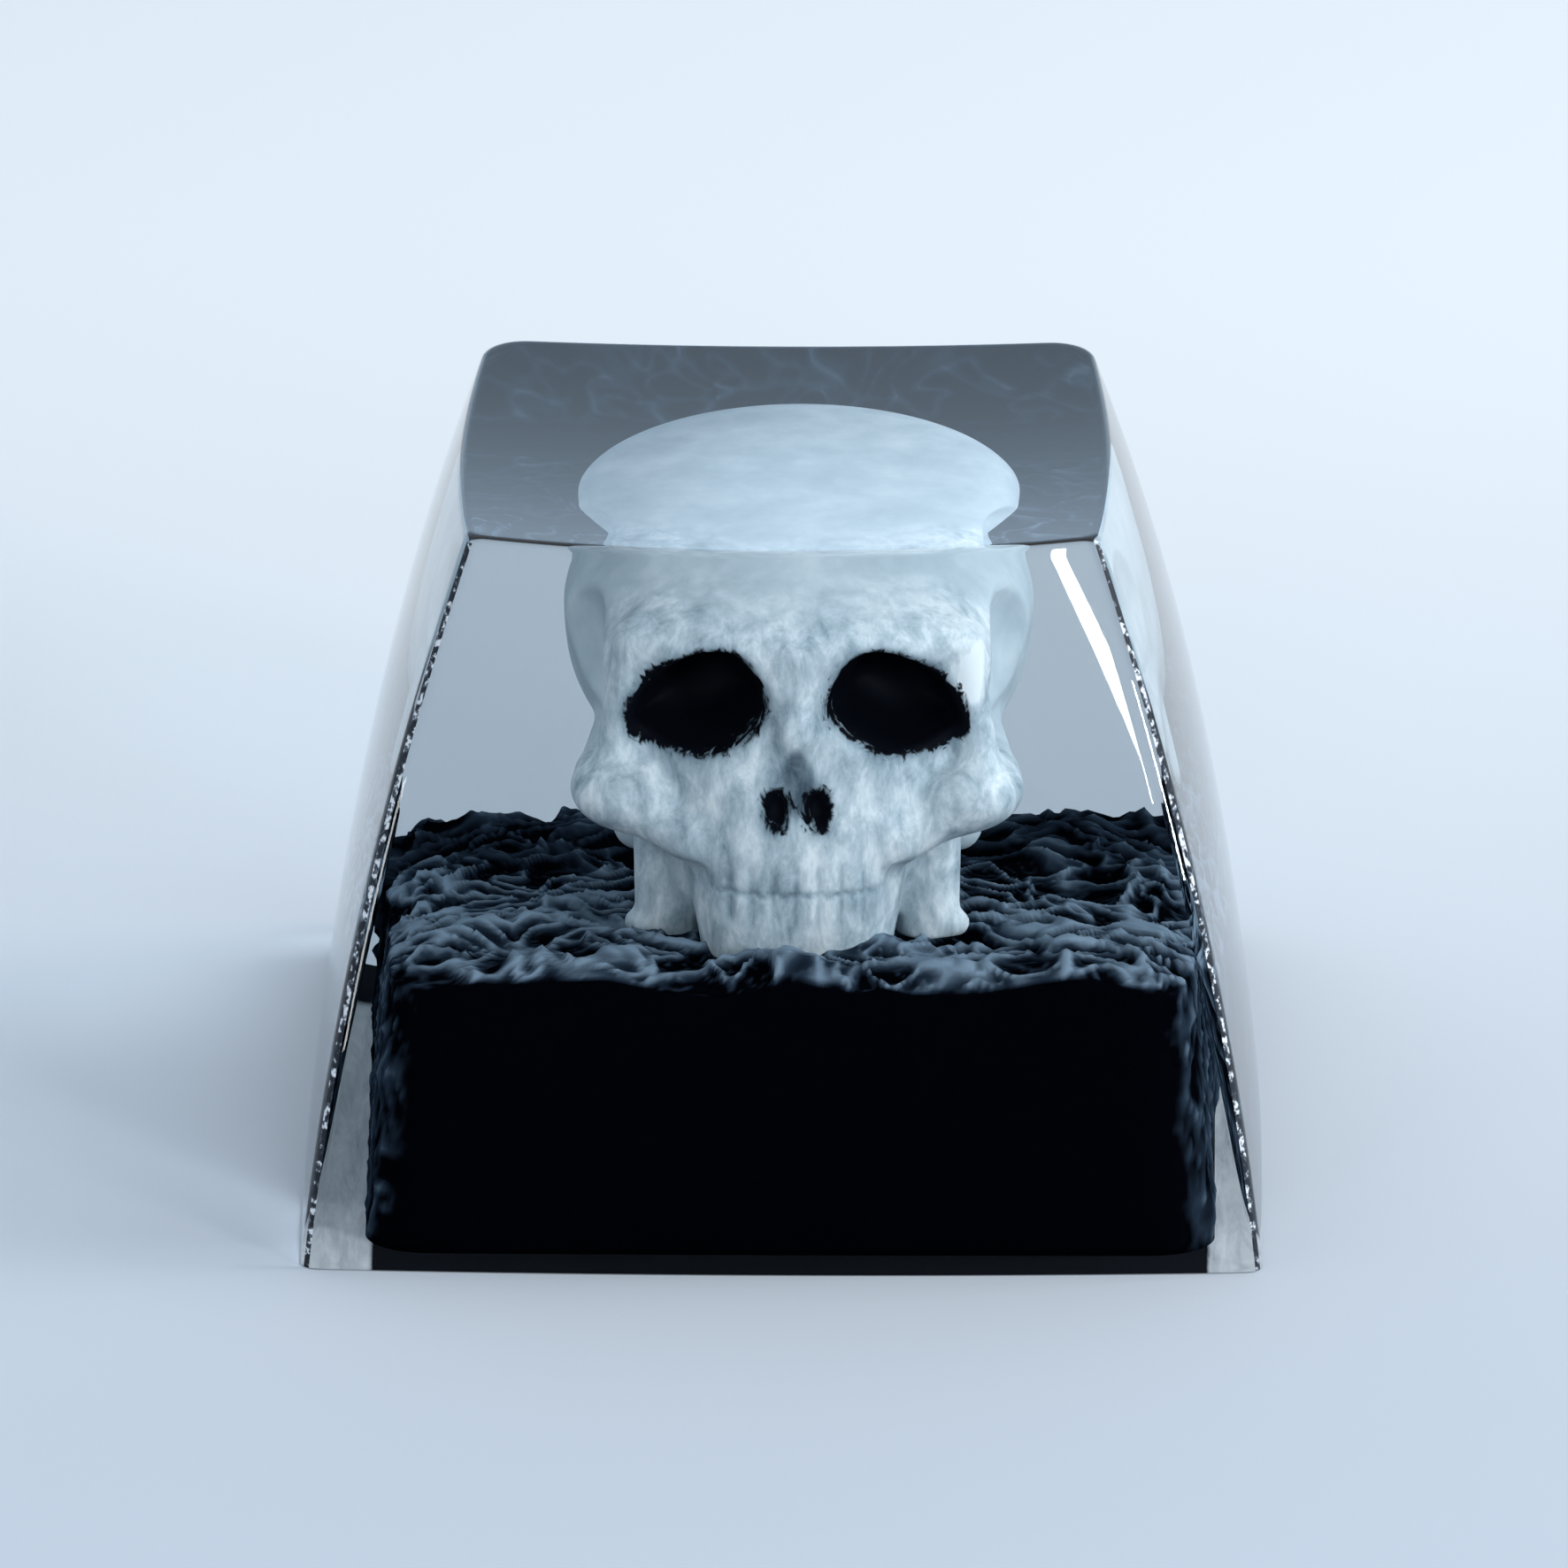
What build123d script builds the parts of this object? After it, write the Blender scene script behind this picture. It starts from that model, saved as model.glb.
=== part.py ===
"""Artisan keycap: a white skull on a black rock base, cast inside a clear resin cap.

Millimetres, +Z up. The origin is the middle of the base, and the skull looks towards -Y.
"""

import os
from math import cos, pi, radians, sin

from build123d import *

# Clear cap: a square base, four bowed walls and a dished top
base_width = 18.2
top_width = 11.85
top_height = 13.6
wall_bow = 0.41
side_bulge = 0.23
front_edge_radius = 0.35
back_edge_radius = 0.9
dish_radius = 71.0
rim_bevel = 0.08
wall_stations = 3

# Black rock base inside the cap
clear_wall = 1.05
core_lean = 0.1
core_corner_radius = 1.2
core_shift = 0.15
rock_height = 4.6
rock_fall = 0.125
rock_relief = 0.22
rock_cells = 8
rock_edge_width = 0.6
rock_edge_slope = 0.6
ridge_turn = 2.4
ridge_skew = 1.7

# Underside of the base: a pocket round a cross-slotted stem
pocket_wall = 0.95
pocket_depth = 2.8
pocket_corner_radius = 1.0
stem_diameter = 5.5
stem_recess = 0.2
cross_length = 4.1
cross_bar_x = 1.3
cross_bar_y = 1.15
cross_depth = 3.7

# Skull: where it stands, and how far it sinks into the rock
skull_shift = 0.26
skull_sink = 0.35
section_points = 12
front_power = 2.6
back_power = 2.0

# Skull sections from the chin to the widest part: height, half width, front and back
chin_half_width = 1.7
chin_front = -5.7
chin_back = -3.0
face_sections = (
    (6.1, 1.9, -5.85, -2.0),
    (7.1, 2.15, -5.85, 0.2),
    (8.0, 2.9, -5.7, 2.7),
    (9.0, 3.8, -5.45, 4.4),
)
widest_height = 10.1
skull_half_width = 4.38
skull_front = -5.4
skull_back = 5.2
crown_rise = 2.5
crown_power = 0.85
crown_steps = 5
crown_end = 80.0

# Brow, eye sockets and temples
brow_reach = 0.35
socket_outline = (
    (0.5, 9.9),
    (0.9, 11.0),
    (2.1, 11.1),
    (3.3, 9.9),
    (3.15, 9.0),
    (1.0, 8.9),
)
socket_corner_radius = 0.4
socket_front = -7.0
socket_back = -3.4
socket_mouth = 1.15
socket_floor = 0.6
temple_place = (4.95, -2.9)
temple_radius = 1.55

# Cheekbones, their arches and the outer rims of the sockets
cheek_place = (3.3, -3.95, 8.1)
cheek_size = (0.95, 1.25, 0.8)
arch_start = (3.7, -3.4, 8.1)
arch_end = (3.05, 0.3, 8.75)
arch_radius = 0.42
rim_top = (2.55, -3.75, 11.2)
rim_bottom = (3.3, -4.1, 8.3)
rim_radius = 0.5

# Nose
nostril_place = (0.37, 8.1)
nostril_width = 0.5
nostril_height = 0.84
nostril_back = -5.2

# Jaw and teeth
ramus_place = (2.42, -3.3)
ramus_size = (1.2, 2.2)
ramus_corner_radius = 0.4
ramus_top = 7.9
cheek_hollow_place = (1.98, -5.15)
cheek_hollow_radius = 0.34
cheek_hollow_top = 7.0
mouth_height = 6.45
mouth_width = 2.8
mouth_gap = 0.09
tooth_pitch = 0.48
tooth_grooves = 5
tooth_length = 0.65
groove_width = 0.07
groove_depth = 0.2

top_half = top_width / 2
base_half = base_width / 2
dish_floor = top_height - 2 * top_half**2 / (2 * dish_radius)
skull_floor = rock_height - rock_fall * chin_front - skull_sink
core_width = base_width - 2 * clear_wall
rock_half = core_width / 2 - core_lean * rock_height
rock_pitch = 2 * (rock_half - rock_edge_width) / rock_cells


def half_width(height):
    """Half the cap's width at a height: a straight taper with a parabolic bow."""
    share = height / top_height
    straight = base_half + (top_half - base_half) * share
    return straight + 4 * wall_bow * share * (1 - share)


def cap_section(height):
    """A square with bulged sides, sharper at the front corners than at the back."""
    half = half_width(height)
    reach = half + side_bulge
    corners = [(-half, -half), (half, -half), (half, half), (-half, half)]
    middles = [(0, -reach), (reach, 0), (0, reach), (-reach, 0)]
    sides = [
        ThreePointArc(corners[i], middles[i], corners[(i + 1) % 4])
        for i in range(4)
    ]
    section = make_face(sides)
    front = section.vertices().sort_by(Axis.Y)[:2]
    section = fillet(front, front_edge_radius)
    back = section.vertices().sort_by(Axis.Y)[-2:]
    section = fillet(back, back_edge_radius)
    return Pos(0, 0, height) * section


def cap_outside():
    """The whole outside of the cap, with its dish and a bevelled rim."""
    last = wall_stations - 1
    over = top_height + rim_bevel
    body = loft([cap_section(over * i / last) for i in range(wall_stations)])
    body -= Pos(0, 0, dish_floor + dish_radius) * Sphere(dish_radius)
    dish = body.faces().sort_by(Axis.Z)[-1]
    return chamfer(dish.edges(), rim_bevel)


def rock_point(i, j):
    """A point of the rock's crumpled top, which falls to the back and drops off at its edges."""
    last = rock_cells + 2
    x = rock_pitch * (i - last / 2)
    y = rock_pitch * (j - last / 2)
    ridge = rock_relief * sin(ridge_turn * i + ridge_skew * j * j)
    edges = [i, j].count(0) + [i, j].count(last)
    return (x, y, rock_height - rock_fall * y + ridge - edges * rock_edge_slope * rock_pitch)


def flat_face(points):
    """A flat face with straight sides."""
    return make_face(Polyline(*points, close=True))


def below_rock():
    """Everything under the rock's top, which is crumpled into flat facets."""
    last = rock_cells + 2
    every = range(last + 1)
    faces = []
    for i in range(last):
        for j in range(last):
            near = [rock_point(i, j), rock_point(i + 1, j)]
            far = [rock_point(i, j + 1), rock_point(i + 1, j + 1)]
            if (i + j) % 2:
                halves = [[*near, far[1]], [near[0], far[1], far[0]]]
            else:
                halves = [[*near, far[0]], [near[1], far[1], far[0]]]
            faces += [flat_face(half) for half in halves]
    rims = [[rock_point(i, j) for i in every] for j in (0, last)]
    rims += [[rock_point(i, j) for j in every] for i in (0, last)]
    for rim in rims:
        feet = [(x, y, 0) for x, y, z in (rim[-1], rim[0])]
        faces.append(flat_face(rim + feet))
    reach = rock_pitch * last / 2
    faces.append(flat_face([(-reach, -reach), (reach, -reach), (reach, reach), (-reach, reach)]))
    return Solid(Shell(faces))


def core_block():
    """The tapered block that the rock is cut from."""
    height = top_height / 2
    bottom = RectangleRounded(core_width, core_width, core_corner_radius)
    narrow = core_width - 2 * core_lean * height
    top = RectangleRounded(narrow, narrow, core_corner_radius)
    return loft([bottom, Pos(0, 0, height) * top])


def stem_pocket():
    """The space under the base, with the stem left standing in it."""
    width = core_width - 2 * pocket_wall
    pocket = extrude(RectangleRounded(width, width, pocket_corner_radius), pocket_depth)
    stem = Pos(0, 0, stem_recess) * Cylinder(
        stem_diameter / 2, pocket_depth, align=(Align.CENTER, Align.CENTER, Align.MIN)
    )
    cross = Rectangle(cross_length, cross_bar_x) + Rectangle(cross_bar_y, cross_length)
    slot = Pos(0, 0, stem_recess) * extrude(cross, cross_depth)
    return pocket - stem + slot


def ellipsoid(place, size):
    """An ellipsoid with its half sizes along X, Y and Z."""
    return Pos(*place) * scale(Sphere(1.0), size)


def bar(start, end, radius):
    """A round bar between two points, with both ends inside other bone."""
    run = Vector(*end) - Vector(*start)
    rod = Cylinder(radius, run.length, align=(Align.CENTER, Align.CENTER, Align.MIN))
    return Plane(start, z_dir=run.normalized()) * rod


def skull_section(height, half, front, back):
    """An egg-shaped section of the skull, squarer at the front than at the back."""
    middle = (front + back) / 2
    reach = (back - front) / 2
    points = []
    for i in range(section_points):
        turn = 2 * pi * i / section_points
        along = -cos(turn)
        across = sin(turn)
        power = 2 / (back_power if along > 0 else front_power)
        share = abs(along) ** power * (1 if along > 0 else -1)
        spread = abs(across) ** power * (1 if across > 0 else -1)
        points.append((half * spread, middle + reach * share))
    outline = Spline(*points, periodic=True)
    return Pos(0, 0, height) * make_face(outline)


def crown_sections():
    """Sections of the round top of the skull, evenly spaced over its curve."""
    middle = (skull_front + skull_back) / 2
    reach = (skull_back - skull_front) / 2
    sections = []
    for i in range(crown_steps + 1):
        turn = radians(crown_end) * i / crown_steps
        height = widest_height + crown_rise * sin(turn) ** crown_power
        share = cos(turn) ** crown_power
        brow = brow_reach if i == 1 else 0
        front = middle - reach * share - brow
        sections.append((height, skull_half_width * share, front, middle + reach * share))
    return sections


def head():
    """Cranium, face and chin in one body, with straight bands between its sections."""
    chin = (skull_floor, chin_half_width, chin_front, chin_back)
    rows = [chin, *face_sections, *crown_sections()]
    return loft([skull_section(*row) for row in rows], ruled=True)


def temple():
    """The hollow of the temple on one side, a round groove that runs out above and below."""
    groove = Cylinder(temple_radius, crown_rise * 2, align=(Align.CENTER, Align.CENTER, Align.CENTER))
    return Pos(*temple_place, widest_height) * groove


def ramus():
    """The upright part of the jaw on one side."""
    upright = Pos(*ramus_place, skull_floor) * RectangleRounded(*ramus_size, ramus_corner_radius)
    return extrude(upright, ramus_top - skull_floor)


def face_plane(depth):
    """The upright plane at a depth, seen from the front."""
    return Plane((0, depth, 0), x_dir=(1, 0, 0), z_dir=(0, -1, 0))


def socket_ring(depth, share):
    """The outline of the eye socket at a depth, drawn in towards its middle."""
    middle_x = sum(x for x, z in socket_outline) / len(socket_outline)
    middle_z = sum(z for x, z in socket_outline) / len(socket_outline)
    points = [
        (middle_x + share * (x - middle_x), middle_z + share * (z - middle_z))
        for x, z in socket_outline
    ]
    outline = flat_face(points)
    return face_plane(depth) * fillet(outline.vertices(), socket_corner_radius * share)


def socket():
    """The eye socket of one side, narrowing inwards."""
    rings = [socket_ring(socket_front, socket_mouth), socket_ring(socket_back, socket_floor)]
    return loft(rings, ruled=True)


def nostril():
    """The nostril of one side, an upright slot."""
    slot = SlotOverall(nostril_height, nostril_width, rotation=90)
    return extrude(face_plane(nostril_back) * (Pos(*nostril_place) * slot), chin_back - chin_front)


def cheek_hollow():
    """The hollow between the teeth and the upright of the jaw."""
    height = cheek_hollow_top - skull_floor
    post = Cylinder(cheek_hollow_radius, height, align=(Align.CENTER, Align.CENTER, Align.MIN))
    return Pos(*cheek_hollow_place, skull_floor) * post


def teeth_cuts():
    """The line between the teeth and the grooves that part them."""
    row = face_sections[0]
    reach = (row[3] - row[2]) / 2
    mouth = Pos(0, row[2], mouth_height) * Box(mouth_width, 2 * groove_depth, mouth_gap)
    cuts = [mouth]
    for i in range(tooth_grooves):
        x = tooth_pitch * (i - (tooth_grooves - 1) / 2)
        share = (1 - abs(x / row[1]) ** front_power) ** (1 / front_power)
        groove = Box(groove_width, 2 * groove_depth, 2 * tooth_length)
        cuts.append(Pos(x, row[2] + reach * (1 - share), mouth_height) * groove)
    return cuts


def both_sides(piece):
    """A piece and its mirror image across the skull's middle."""
    return [piece, mirror(piece, Plane.YZ)]


def build_skull():
    """The whole skull, set in its place in the cap."""
    skull = head()
    skull -= both_sides(temple())
    skull += both_sides(bar(rim_top, rim_bottom, rim_radius))
    skull += both_sides(ellipsoid(cheek_place, cheek_size))
    skull += both_sides(bar(arch_start, arch_end, arch_radius))
    skull += both_sides(ramus())
    skull -= both_sides(socket())
    skull -= both_sides(cheek_hollow())
    skull -= both_sides(nostril())
    skull -= teeth_cuts()
    return Pos(skull_shift, 0, 0) * skull


def build_all():
    """The three pieces: clear cap, rock base and skull."""
    skull = build_skull()
    rock = Pos(core_shift, 0, 0) * (core_block() & below_rock())
    cap = cap_outside() - rock - skull
    rock -= stem_pocket()
    rock -= skull
    return {"clear_cap": cap, "rock_base": rock, "skull": skull}


os.makedirs("parts", exist_ok=True)
for name, piece in build_all().items():
    piece.label = name
    export_step(piece, f"parts/{name}.step")
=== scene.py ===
"""Looks of the artisan keycap: clear resin round a painted skull on a black rock base.

Shapes are worked out in millimetres in the frame of the solids and stored in metres.
"""
import math
from collections import namedtuple

import bpy
import numpy as np
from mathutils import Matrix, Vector, noise


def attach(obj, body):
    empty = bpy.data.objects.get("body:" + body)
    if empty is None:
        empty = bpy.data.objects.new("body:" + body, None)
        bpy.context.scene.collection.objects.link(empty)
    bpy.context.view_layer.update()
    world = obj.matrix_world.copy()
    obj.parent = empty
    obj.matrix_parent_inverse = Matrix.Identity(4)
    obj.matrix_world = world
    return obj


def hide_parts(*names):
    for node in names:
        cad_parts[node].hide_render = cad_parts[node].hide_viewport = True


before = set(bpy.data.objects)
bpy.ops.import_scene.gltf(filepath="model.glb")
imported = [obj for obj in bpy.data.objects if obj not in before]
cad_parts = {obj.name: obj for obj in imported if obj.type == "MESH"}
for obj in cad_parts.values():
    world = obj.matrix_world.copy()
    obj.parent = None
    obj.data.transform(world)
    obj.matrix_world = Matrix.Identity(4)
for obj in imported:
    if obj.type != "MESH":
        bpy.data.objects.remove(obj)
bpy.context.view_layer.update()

MM = 0.001

# Small numbers that keep divisions from failing
TINY = 1e-9
LEAST = 1e-12

# Kinds of face on the resin, in the order of its materials
CLEAR, SANDED, EDGE_SHADE_GLINTS = range(3)

# Camera, fitted to the edges of the cap in the photograph
camera_azimuth = math.radians(0.5687)
camera_elevation = math.radians(20.4684)
camera_distance = 220.4
camera_target = (-0.037, 0.0, 6.426)
camera_lens = 259.8
camera_sensor = 36.0
camera_near = 10.0

# Paper under the cap, darker towards the front as painted shade
floor_reach = 400.0
floor_drop = 0.02
floor_fade = (-30 * MM, 60 * MM)
floor_mirror_front = -9 * MM

# Sky: it brightens along the tilt, is lifted near the horizon and turns paler overhead
sky_tilt = (0.0, 0.66, 0.75)
sky_range = (-0.2, 0.8)
sky_strength = 0.94
low_sky = (0.45, 0.12)
low_sky_lift = 0.45
pale_sky = (0.5, 0.8)

# Colours of the lamps
white = (1.0, 1.0, 1.0)
warm_white = (1.0, 0.98, 0.95)

# Clear cap, as in the solids
base_width = 18.2
top_width = 11.85
top_height = 13.6
wall_bow = 0.41
side_bulge = 0.23
front_edge_radius = 0.35
back_edge_radius = 0.9
dish_radius = 71.0

# The visible resin's rounded rim, its front edges with a painted dark band and painted glints, and its
# sanded base
rim_round = 0.14
rim_shares = (0.2, 0.4, 0.6, 0.8)
rim_passes = 12
edge_shade_glint_columns = 2
base_ring_share = 0.95
sanded_back = (7.4 * MM, 6.4 * MM)
sanded_side = (7.85 * MM, 8.0 * MM)

# The resin's inner wall, hidden inside the rock: share of the base outline, and height
inner_wall = (
    (0.3, 4.05),
    (0.42, 3.6),
    (0.55, 3.05),
    (0.74, 2.9),
    (0.79, 2.83),
    (0.8, 2.6),
    (0.843, 0.0),
)
inner_peak = 4.1

# Rock base, as in the solids
clear_wall = 1.05
core_lean = 0.1
core_corner = 1.2
core_shift = 0.15
rock_height = 4.6
rock_fall = 0.125
rock_relief_height = 0.22
rock_cells = 8
rock_edge_width = 0.6
rock_edge_slope = 0.6
ridge_turn = 2.4
ridge_skew = 1.7
core_half = base_width / 2 - clear_wall
rock_half = core_half - core_lean * rock_height
rock_pitch = 2 * (rock_half - rock_edge_width) / rock_cells

# Underside of the rock, as in the solids, with softened edges
pocket_wall = 0.95
pocket_half = core_half - pocket_wall
pocket_corner = 1.0
pocket_depth = 2.8
pocket_bevel = 0.3
stem_radius = 2.75
stem_recess = 0.2
cross_half = 2.05
cross_bar_half_x = 0.65
cross_bar_half_y = 0.575
cross_top = 3.9
edge_soft = 0.05
base_lift = 0.01

# The visible rock's rounded rim and lowered back corners
rock_rim_round = 0.15
rock_rim_shares = (0.33, 0.67, 1.0)
rock_rim_passes = 6
corner_fall = 0.35
corner_fall_width = 2.2
corner_fall_span = (-1.0, 5.0)

# Lava ridges in three sizes: ripples per millimetre, shift of the noise, height, its power, paleness of the
# painted highlight on its crest
Ridge = namedtuple("Ridge", "scale skip height power crest")
ridges = (
    Ridge(0.6, 0.0, 0.18, 2, 0.5),
    Ridge(1.3, 5.0, 0.17, 1.5, 0.7),
    Ridge(2.9, 9.0, 0.04, 1, 0.2),
)
ridge_sharpness = 2.4
ridge_middle = 0.17
ridge_foot = 0.5
crest_power = 5
warp_scale = 0.9
warp_skip = Vector((7, 3, 1))
warp_reach = 0.6

# Where the ridges and the painted highlights on their crests fade: on the walls, on the front wall and
# behind the skull, where the fade is painted shade
front_facing = (0.55, 0.95)
up_facing = (0.3, 0.8)
wall_relief = 0.45
front_flatness = 0.85
wall_crest = 0.35
back_crest = 0.3
crest_fade = (3.5, 0.0)

# Skull: its place, after the solids, and the grid on which its field is worked out
skull_shift = 0.26
skull_floor = 4.96
skull_step = 0.085
skull_box = ((-4.9, 4.9), (-6.5, 5.7), (skull_floor - 0.3, 12.95))

# Skull sections from the chin to the widest part, after the solids: height, half width, front, back
face_sections = (
    (skull_floor, 1.78, -5.7, -3.0),
    (6.1, 2.02, -5.85, -2.0),
    (7.1, 2.25, -5.85, 0.2),
    (8.0, 2.9, -5.7, 2.7),
    (9.0, 3.8, -5.45, 4.4),
    (10.1, 4.38, -5.4, 5.2),
)
section_blur = 9
front_power = 2.6
back_power = 2.0
crown_rounding = 0.4
crown_rounding_span = (10.4, 12.2)
crown_rise = 2.5
crown_power = 2 / 0.85
least_slope = 0.05

# Rounded forms of the skull, in its middle or on its +X side, each with the softness of its join or cut
Egg = namedtuple("Egg", "place size soft")
Bar = namedtuple("Bar", "start end radius soft")
braincase = Egg((0.0, 0.3, 9.7), (4.36, 4.4, 2.5), 0.3)
braincase_squash = 0.76
brow = Egg((0.0, -4.2, 11.0), (3.3, 1.25, 0.75), 0.5)
temple = Egg((4.95, -2.75, 10.15), (1.55, 1.6, 1.95), 0.12)
socket_side = Bar((3.0, -4.3, 10.9), (3.35, -4.2, 8.8), 0.42, 0.3)
cheekbone = Egg((3.22, -4.05, 7.98), (1.04, 1.15, 0.75), 0.3)
upper_jaw = Bar((3.2, -4.1, 7.85), (1.9, -4.9, 7.25), 0.5, 0.4)
cheek_arch = Bar((3.7, -3.4, 8.1), (3.05, 0.3, 8.75), 0.42, 0.3)
jaw_upright = Bar((2.45, -3.4, 4.9), (2.5, -3.3, 7.6), 0.6, 0.3)
jaw_corner = Egg((2.9, -3.5, 5.15), (0.36, 0.4, 0.26), 0.12)
ear_lobe = Bar((3.0, -1.8, 6.5), (2.75, -1.2, 8.6), 0.48, 0.4)
nose_ridge = Bar((0.0, -5.1, 10.8), (0.0, -5.45, 9.5), 0.32, 0.45)
cheek_hollow = Bar((2.1, -5.2, 4.8), (2.05, -5.2, 6.6), 0.26, 0.25)
nose_hollow = Egg((0.0, -6.15, 8.5), (0.42, 0.55, 0.62), 0.2)
nostril = Egg((0.38, -5.95, 8.08), (0.27, 0.6, 0.42), 0.1)

# Eye socket of the +X side
socket_outline = (
    (0.55, 10.1),
    (1.0, 10.92),
    (1.75, 11.06),
    (2.75, 10.55),
    (3.28, 9.5),
    (2.75, 9.0),
    (1.65, 8.98),
    (0.8, 9.5),
)
socket_rim = -5.3
socket_back = -3.5
socket_taper = 0.3
socket_soft = 0.16
socket_floor_soft = 0.5

# Mouth and teeth, with the ends of each soft ramp
mouth_height = 6.45
mouth_wave = 0.03
mouth_end = (1.75, 1.4)
tooth_pitch = 0.42
tooth_gaps = 4
tooth_gap_strength = 0.8
tooth_foot = (5.7, 5.95)
tooth_top = (7.15, 6.8)
tooth_front = (-4.9, -5.3)
groove_half = 0.05
groove_depth = 0.08

# Black paint in the sockets and nostrils, which ends behind the face
paint_push = 3
socket_paint_end = (-3.3, -2.9)
nostril_paint_end = (-5.1, -4.9)
nostril_paint_scale = 0.3
paint_edge_limit = 0.5

# Grime on the nose, round the black paint and between the teeth, and a painted highlight on one temple
nose_half = (0.75, 0.3)
nose_widths = (0.2, 1.2)
nose_top = (9.4, 9.0)
nose_foot = (7.7, 8.1)
nose_front = (-4.9, -5.2)
nose_grime = 0.8
tooth_grime = 0.45
halo_grime = 0.55
halo_width = 0.13
highlight_place = (3.2, 10.3)
highlight_size = (0.3, 0.9)
highlight_strength = 0.5
highlight_front = (-3.4, -3.9)

# Brush strokes show on the face and fade over the cranium
stroke_least = 0.12
stroke_front = (-2.6, -3.8)
stroke_top = (12.2, 11.2)

# Strengths of the noises in the paint, in the painted dark band and glints of the edges, and in the painted
# highlights on the rock's crests
noise_middle = 0.5
paint_middle = 0.5
mottle_strength = 0.35
stroke_strength = 1.25
# The smear applies the grime and the painted highlight alike
smear_and_highlight_least = 0.2
smear_and_highlight_strength = -0.75
bristle_strength = 0.6
brush_edge = (0.05, -0.05)
glint_lift = 0.2
patch_strength = -0.35
crest_shine_grain = 0.5
crest_shine_least = 0.75


def smooth_step(low, high, value):
    """A soft ramp from 0 at low to 1 at high."""
    share = np.clip((value - low) / (high - low), 0.0, 1.0)
    return share * share * (3 - 2 * share)


def make_object(name, points, faces, material):
    """A smooth-shaded mesh object from points in millimetres."""
    mesh = bpy.data.meshes.new(name)
    mesh.from_pydata((np.asarray(points) * MM).tolist(), [], [list(face) for face in faces])
    mesh.update()
    mesh.shade_smooth()
    mesh.materials.append(material)
    piece = bpy.data.objects.new(name, mesh)
    bpy.context.scene.collection.objects.link(piece)
    return piece


def ring(x, y, z):
    """Points from their X and Y, at one height or at a height each."""
    return np.stack([x, y, np.broadcast_to(z, x.shape)], axis=1)


def polar_ring(angle, reach, z):
    """Points at a distance from the middle along each angle."""
    return ring(reach * np.cos(angle), reach * np.sin(angle), z)


def inward_rings(x, y, shares, height):
    """Rings over a top, drawn in towards its middle."""
    return [ring(x * share, y * share, height(x * share, y * share)) for share in shares]


def bend(start, corner, end, share):
    """Points along the curves that round off a corner."""
    return start * (1 - share) ** 2 + 2 * corner * share * (1 - share) + end * share**2


def ring_faces(rings, count):
    """Quads between rings of points that follow each other, closed by one point at each end."""
    faces = []
    for row in range(rings - 1):
        low = row * count
        high = low + count
        for i in range(count):
            j = (i + 1) % count
            faces.append((low + i, low + j, high + j, high + i))
    first = rings * count
    last = first + 1
    top = (rings - 1) * count
    for i in range(count):
        j = (i + 1) % count
        faces.append((first, j, i))
        faces.append((last, top + i, top + j))
    return faces


def half_width(height):
    """Half the cap's width at a height, as in the solids."""
    share = height / top_height
    straight = base_width / 2 + (top_width - base_width) / 2 * share
    return straight + 4 * wall_bow * share * (1 - share)


def dish_height(x, y):
    """Height of the dished top."""
    floor = top_height - 2 * (top_width / 2) ** 2 / (2 * dish_radius)
    return floor + dish_radius - np.sqrt(dish_radius**2 - x * x - y * y)


def cap_outline(height, side_count, corner_count):
    """Points round the cap at heights given for each point: bulged sides and rounded corners."""
    half = half_width(height)
    bow = (half**2 + side_bulge**2) / (2 * side_bulge)
    centre = bow - half - side_bulge

    def corner(radius):
        reach = (-centre + np.sqrt(2 * (bow - radius) ** 2 - centre**2)) / 2
        return radius, reach, np.arctan2(reach, reach + centre)

    front = corner(front_edge_radius)
    back = corner(back_edge_radius)
    corners = (front, back, back, front)
    x = np.empty_like(height)
    y = np.empty_like(height)
    start = 0
    for side, (radius, reach, turn_out) in enumerate(corners):
        turn_in = corners[side - 1][2]
        span = slice(start, start + side_count)
        share = np.linspace(0, 1, side_count)
        turn = -turn_in[span] * (1 - share) + turn_out[span] * share
        along = bow[span] * np.sin(turn)
        out = bow[span] * np.cos(turn) - centre[span]
        x[span], y[span] = ((along, -out), (out, along), (-along, out), (-out, -along))[side]
        start += side_count
        span = slice(start, start + corner_count)
        share = np.linspace(0, 1, corner_count + 2)[1:-1]
        turn = side * math.pi / 2 + turn_out[span] + (math.pi / 2 - 2 * turn_out[span]) * share
        x[span] = reach[span] * (1, 1, -1, -1)[side] + radius * np.sin(turn)
        y[span] = reach[span] * (-1, 1, 1, -1)[side] - radius * np.cos(turn)
        start += corner_count
    return x, y


def resin_rings(side_count, corner_count, wall_rows, dish_rows):
    """Rings down the hidden inner wall, out over the base, up the walls and in over the dish."""
    count = 4 * (side_count + corner_count)
    rim = np.full(count, top_height)
    for _ in range(rim_passes):
        rim = dish_height(*cap_outline(rim, side_count, corner_count))
    base_x, base_y = cap_outline(np.zeros(count), side_count, corner_count)
    rings = [ring(base_x * share, base_y * share, height) for share, height in inner_wall]
    rings.append(ring(base_x * base_ring_share, base_y * base_ring_share, 0.0))
    for row in range(wall_rows):
        height = (rim - rim_round) * row / (wall_rows - 1)
        rings.append(ring(*cap_outline(height, side_count, corner_count), height))
    rim_x, rim_y = cap_outline(rim, side_count, corner_count)
    inward = 1 - rim_round / np.hypot(rim_x, rim_y)
    end_x, end_y = rim_x * inward, rim_y * inward
    start = rings[-1]
    corner = ring(rim_x, rim_y, rim)
    end = ring(end_x, end_y, dish_height(end_x, end_y))
    rings += [bend(start, corner, end, share) for share in rim_shares]
    shares = [1 - row / dish_rows for row in range(dish_rows)]
    return rings + inward_rings(end_x, end_y, shares, dish_height)


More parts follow.
